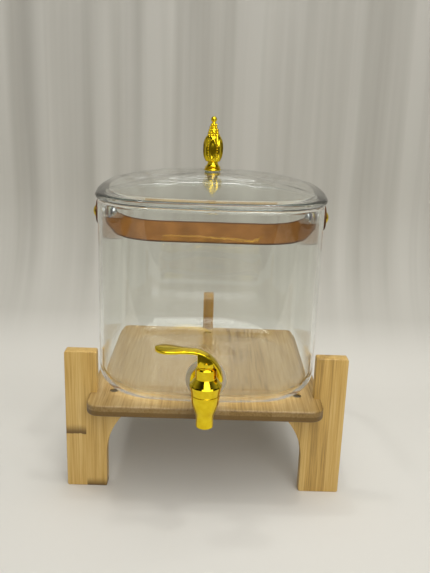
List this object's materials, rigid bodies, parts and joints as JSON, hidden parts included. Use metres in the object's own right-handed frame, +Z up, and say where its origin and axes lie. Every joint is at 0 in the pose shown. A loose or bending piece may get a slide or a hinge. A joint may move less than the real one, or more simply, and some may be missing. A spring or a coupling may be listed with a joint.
{
  "type": "glass beverage dispenser",
  "caption": "Rounded-square glass drink dispenser with a domed glass lid, gilt finial, leather bail strap and gilt lever tap, standing on a legged bamboo stand.",
  "frame": {"origin": "on the table, under the middle of the whole footprint; the jar's axis is 5.6 mm behind it", "axes": "+Z up; the tap faces -Y; +X is to the right when the tap is faced"},
  "size_m": [0.288, 0.3102, 0.3837],
  "materials": {
    "bamboo": "satin lacquered bamboo",
    "clear_glass": "clear polished glass",
    "gilt": "bright gold plating",
    "steel": "plain steel",
    "silicone": "translucent white silicone",
    "leather": "tan strap leather"
  },
  "bodies": {
    "stand": {"base_plate": "bamboo", "front_left_leg": "bamboo", "front_right_leg": "bamboo", "rear_leg": "bamboo", "stand_screws": "steel"},
    "jar": {"glass_jar": "clear_glass", "tap_body": "gilt", "tap_outer_gasket": "silicone", "tap_inner_gasket": "silicone", "tap_lock_nut": "gilt", "tap_bonnet": "gilt", "stem_o_ring": "silicone", "strap_studs": "gilt", "stud_spacers": "gilt", "stud_gaskets": "silicone", "stud_cap_nuts": "steel"},
    "lid": {"glass_lid": "clear_glass", "finial": "gilt", "finial_gaskets": "silicone", "finial_washer": "steel", "finial_screw": "steel"},
    "strap": {"strap_handle": "leather", "strap_eyelets": "gilt"},
    "swivel": {"cam_washer": "steel"},
    "stem": {"valve_stem": "steel", "valve_plug": "silicone", "valve_spring": "steel", "lever_pin": "steel"},
    "lever": {"tap_lever": "gilt"}
  },
  "joints": [
    {"name": "jar_lift", "type": "slide", "parent": "stand", "child": "jar", "axis": [0, 0, 1], "range_m": [0, 0.15]},
    {"name": "lid_lift", "type": "slide", "parent": "jar", "child": "lid", "axis": [0, 0, 1], "range_m": [0, 0.12]},
    {"name": "handle_swing", "type": "hinge", "parent": "jar", "child": "strap", "pos_m": [0, 0.0056, 0.282], "axis": [1, 0, 0], "range_deg": [0, 220]},
    {"name": "lever_turn", "type": "hinge", "parent": "jar", "child": "swivel", "pos_m": [0, -0.1399, 0.166], "axis": [0, 0, 1], "range_deg": [-15, 195]},
    {"name": "stem_lift", "type": "slide", "parent": "swivel", "child": "stem", "axis": [0, 0, 1], "range_m": [0, 0.00232], "deforming": ["valve_spring"]},
    {"name": "lever_press", "type": "hinge", "parent": "stem", "child": "lever", "pos_m": [0, -0.1399, 0.17], "axis": [0, -1, 0], "range_deg": [0, 27], "stiffness_Nm_per_rad": 0.3, "springref_deg": -22.92}
  ],
  "couplings": [
    {"joint": "lever_press", "follows": "stem_lift", "rad_per_m": 187.72}
  ]
}
